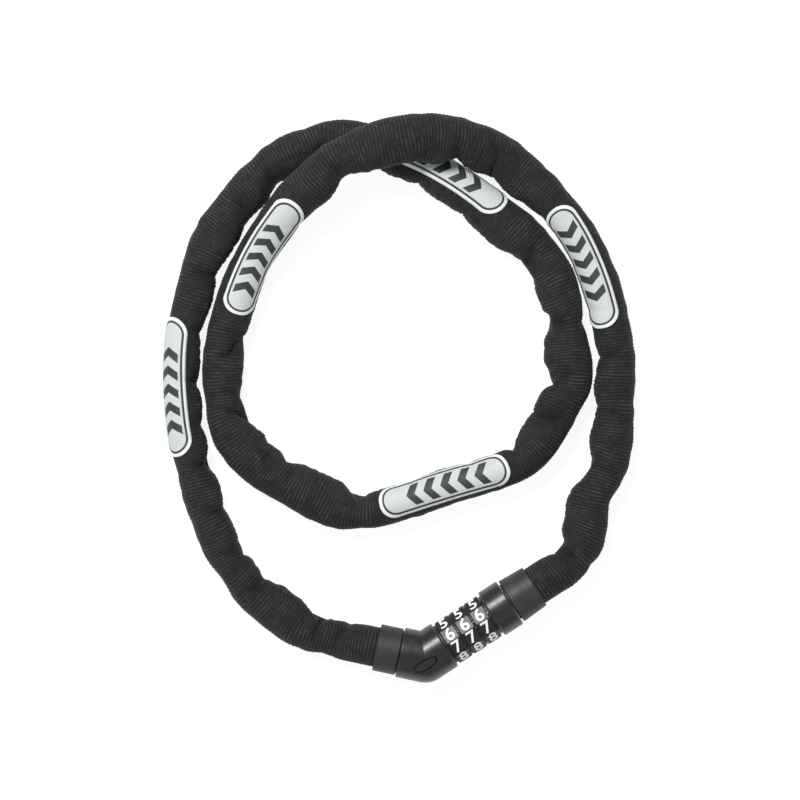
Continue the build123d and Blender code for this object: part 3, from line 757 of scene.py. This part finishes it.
def patch_textile():
    """Pale reflective cloth with a white rim, a dark line inside it and dark slanted bars."""
    made = Nodes("patch_textile")
    u, v = made.attribute("across_u"), made.attribute("across_v")
    straight = PATCH_LENGTH / 2 - PATCH_WIDTH / 2
    past = made.math("MAXIMUM", made.math("SUBTRACT", made.math("ABSOLUTE", u), straight), 0.0)
    squares = made.math("ADD", made.math("MULTIPLY", past, past), made.math("MULTIPLY", v, v))
    inward = made.math("SUBTRACT", PATCH_WIDTH / 2, made.math("SQRT", squares))

    def band(low, high, soft=0.12 * MM):
        rising = made.remap(inward, low - soft, low + soft)
        falling = made.remap(inward, high - soft, high + soft, 1.0, 0.0)
        return made.math("MULTIPLY", rising, falling)

    rim = made.remap(inward, 1.35 * MM, 1.55 * MM, 1.0, 0.0)
    line = band(1.5 * MM, 2.3 * MM)
    field = made.remap(inward, 2.2 * MM, 2.4 * MM)
    # slanted bars that lean both ways from the patch's middle line
    lean = made.math("ADD", u, made.math("MULTIPLY", made.math("ABSOLUTE", v), 0.7))
    lean = made.math("ADD", lean, BAR_COUNT * BAR_PITCH / 2 - 1.4 * MM)
    wave = made.math("FRACT", made.math("DIVIDE", made.math("ADD", lean, 10 * BAR_PITCH), BAR_PITCH))
    bar = made.math("MULTIPLY", made.remap(wave, 0.03, 0.06), made.remap(wave, 0.52, 0.55, 1.0, 0.0))
    tall = made.remap(made.math("ABSOLUTE", v), 4.2 * MM, 4.4 * MM, 1.0, 0.0)
    wide = made.math("MULTIPLY", made.remap(lean, 0.0, 0.1 * MM),
                     made.remap(lean, BAR_COUNT * BAR_PITCH - 0.1 * MM, BAR_COUNT * BAR_PITCH, 1.0, 0.0))
    bars = made.math("MULTIPLY", bar, made.math("MULTIPLY", tall, wide))
    weave = made.noise(2600, 3, 0.7)
    dark = made.mix(weave, (0.006, 0.010, 0.010), (0.030, 0.040, 0.038))
    pale = made.mix(weave, (0.42, 0.455, 0.45), (0.54, 0.575, 0.57))
    white = made.mix(weave, (0.60, 0.63, 0.62), (0.74, 0.77, 0.76))
    colour = made.mix(made.math("MULTIPLY", field, made.math("SUBTRACT", 1.0, bars)), dark, pale)
    colour = made.mix(rim, colour, white)
    colour = made.mix(line, colour, dark)
    made.colour(colour)
    made.roughness(made.remap(weave, 0.3, 0.7, 0.5, 0.7))
    made.bump(weave, 0.06 * MM, 0.5)
    made.set(Sheen_Weight=0.05)
    return made.material


def digit_paint():
    made = Nodes("digit_white")
    speck = made.noise(900, 4, 0.65)
    made.colour(made.mix(made.remap(speck, 0.3, 0.75), (0.90, 0.90, 0.89), (0.74, 0.75, 0.75)))
    made.roughness(made.remap(speck, 0.3, 0.7, 0.4, 0.55))
    made.bump(speck, 0.02 * MM, 0.3)
    return made.material


BLACK = (0.0155, 0.0155, 0.0165)
materials = {
    "housing_plastic": moulded_plastic("housing_plastic", BLACK, 0.3),
    "collar_plastic": moulded_plastic(
        "collar_plastic", (0.020, 0.021, 0.0212), 0.52, 0.02 * MM, 1.5, 0.42),
    "dial_plastic": moulded_plastic(
        "dial_plastic", (0.0125, 0.013, 0.0135), 0.32, 0.008 * MM, 1.5, 0.36),
    "ring_plastic": moulded_plastic("ring_plastic", (0.010, 0.010, 0.011), 0.5),
    "core_steel": metal("core_steel", (0.60, 0.60, 0.62), 0.32, (1, 6, 6)),
    "bolt_steel": metal("bolt_steel", (0.74, 0.74, 0.76), 0.16, (6, 1, 1)),
    "code_brass": metal("code_brass", (0.72, 0.52, 0.22), 0.3, (1, 6, 6)),
    "anchor_zinc": metal("anchor_zinc", (0.42, 0.42, 0.44), 0.5),
    "spring_steel": metal("spring_steel", (0.50, 0.50, 0.52), 0.3),
    "chain_steel": metal("chain_steel", (0.52, 0.52, 0.54), 0.28),
    "sleeve_textile": textile(),
    "patch_textile": patch_textile(),
}


def finish_piece(piece, slot, material=None):
    """Gives a piece its material: the one named by slot, unless another is given."""
    piece.data.materials.clear()
    piece.data.materials.append(material or materials[slot])


for subpart in frame["record"]["subparts"]:
    node = nodes[subpart["node"]]
    node.data.materials.clear()
    node.data.materials.append(materials[subpart["material_slot"]])

# ---------------------------------------------------------------- sleeve, in its three stretches
sleeve_root, root_path = make_sleeve("textile_root", 0.0, FLEX_FROM)
sleeve_flex, flex_path = make_sleeve("textile_flex", FLEX_FROM, FLEX_TO)
sleeve_bolt, bolt_path = make_sleeve("textile_bolt", FLEX_TO, ROUTE_LENGTH)
sleeves = {"sleeve_root": sleeve_root, "sleeve_flex": sleeve_flex, "sleeve_bolt": sleeve_bolt}
for node, piece in sleeves.items():
    finish_piece(piece, "sleeve_textile")
    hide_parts(node)
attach(sleeve_root, "lock_body")
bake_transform(sleeve_flex)
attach(sleeve_bolt, "bolt_end")

# ---------------------------------------------------------------- patches
for name, middle, facing in PATCHES:
    patch = make_patch(f"badge_{name[-1]}", middle, facing)
    finish_piece(patch, "patch_textile")
    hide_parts(name)
    if name == "patch_5":
        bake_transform(patch)
    else:
        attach(patch, "lock_body")

# ---------------------------------------------------------------- chain
chains = {}
for name, body in (("root", "lock_body"), ("flex", None), ("bolt", "bolt_end")):
    chains[name] = chain = make_chain(f"links_{name}", links[name])
    finish_piece(chain, "chain_steel")
    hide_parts(f"chain_{name}")
    if body:
        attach(chain, body)
    else:
        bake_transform(chain)

# ---------------------------------------------------------------- digits on the dials
DIGIT_HEIGHT = 5.5 * MM
DIGIT_RISE = 0.3 * MM  # from the middle of its flat
FLAT_R = 9.8 * MM
DIGIT_STEP = math.radians(36)
FIRST_FLAT = math.radians(-18)
DIGIT_ON_FIRST_FLAT = 6


def make_digits(name, centre_x):
    """White digits 0 to 9, one on each flat of a dial."""
    joined = bmesh.new()
    for digit in range(10):
        text = bpy.data.curves.new(f"digit_{digit}", "FONT")
        text.body = str(digit)
        text.size = 1.0
        text.offset = 0.012
        text.extrude = 0.0
        text.resolution_u = 6
        holder = bpy.data.objects.new(f"digit_{digit}", text)
        bpy.context.scene.collection.objects.link(holder)
        flat = bpy.data.meshes.new_from_object(holder)
        bpy.data.objects.remove(holder)
        places = np.array([v.co for v in flat.vertices], float)
        low, high = places.min(0), places.max(0)
        scale = DIGIT_HEIGHT / (high[1] - low[1])
        centred = (places - (low + high) / 2) * scale
        wide = centred[:, 0]
        tall = centred[:, 1]
        turn = FIRST_FLAT + (digit - DIGIT_ON_FIRST_FLAT) * DIGIT_STEP
        # the digit's top points towards +Y on the upper flats
        out = np.array([0, -math.sin(turn), math.cos(turn)])
        top = np.array([0, math.cos(turn), math.sin(turn)])
        base = np.array([centre_x, 0, AXIS_Z])
        layers = []
        for lift in (0.09 * MM, -0.1 * MM):
            spot = base + out * (FLAT_R + lift) + (tall[:, None] + DIGIT_RISE) * top
            spot[:, 0] += wide * 1.06
            layers.append([joined.verts.new(tuple(p)) for p in spot])
        counts = {}
        for polygon in flat.polygons:
            corners = list(polygon.vertices)
            joined.faces.new([layers[0][c] for c in corners])
            joined.faces.new([layers[1][c] for c in reversed(corners)])
            for a, b in zip(corners, corners[1:] + corners[:1]):
                counts[(a, b)] = True
        for a, b in counts:
            if (b, a) not in counts:
                joined.faces.new([layers[0][a], layers[1][a], layers[1][b], layers[0][b]])
        bpy.data.meshes.remove(flat)
        bpy.data.curves.remove(text)
    bmesh.ops.remove_doubles(joined, verts=joined.verts, dist=0.002 * MM)
    bmesh.ops.recalc_face_normals(joined, faces=joined.faces)
    mesh = bpy.data.meshes.new(name)
    joined.to_mesh(mesh)
    joined.free()
    piece = bpy.data.objects.new(name, mesh)
    bpy.context.scene.collection.objects.link(piece)
    return piece


digit_material = digit_paint()
for k, body in enumerate(("first_dial", "second_dial", "third_dial")):
    low, high = dial_boxes[k]
    digits = make_digits(f"digits_{k + 1}", (low.x + high.x) / 2)
    finish_piece(digits, "dial_plastic", digit_material)
    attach(digits, body)

# ---------------------------------------------------------------- floor, light and background
FLOOR_SIDE = 6.0


def make_floor():
    half = FLOOR_SIDE / 2
    corners = [(-half, -half, 0), (half, -half, 0), (half, half, 0), (-half, half, 0)]
    floor = mesh_object("floor", corners, [(0, 1, 2, 3)])
    made = Nodes("floor_white")
    made.set(Roughness=0.9, Specular_IOR_Level=0.0, Base_Color=(0.22, 0.22, 0.22, 1),
             Emission_Color=(1, 1, 1, 1), Emission_Strength=0.89)
    floor.data.materials.append(made.material)
    floor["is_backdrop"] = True


def softbox(name, azimuth, tilt, distance, size, power):
    """A square area light over the lock, tilt degrees from overhead towards azimuth."""
    data = bpy.data.lights.new(name, "AREA")
    data.shape = "RECTANGLE"
    data.size, data.size_y = size
    data.energy = power
    light = bpy.data.objects.new(name, data)
    turn, lean = math.radians(azimuth), math.radians(tilt)
    away = Vector((math.cos(turn) * math.sin(lean), math.sin(turn) * math.sin(lean), math.cos(lean)))
    light.location = VIEW_CENTRE + away * distance
    light.rotation_euler = (-away).to_track_quat("-Z", "Y").to_euler()
    bpy.context.scene.collection.objects.link(light)


make_floor()
softbox("key", 90, 36, 1.5, (0.75, 0.42), 26)
softbox("fill", -60, 50, 1.8, (0.9, 0.9), 5)
softbox("rim", 200, 60, 1.8, (0.6, 0.6), 5)

world = bpy.data.worlds.new("world")
bpy.context.scene.world = world
world.use_nodes = True
world.node_tree.nodes["Background"].inputs["Color"].default_value = (0.97, 0.98, 1.0, 1)
world.node_tree.nodes["Background"].inputs["Strength"].default_value = 0.32
bpy.context.scene.view_settings.view_transform = "Standard"

low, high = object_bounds()
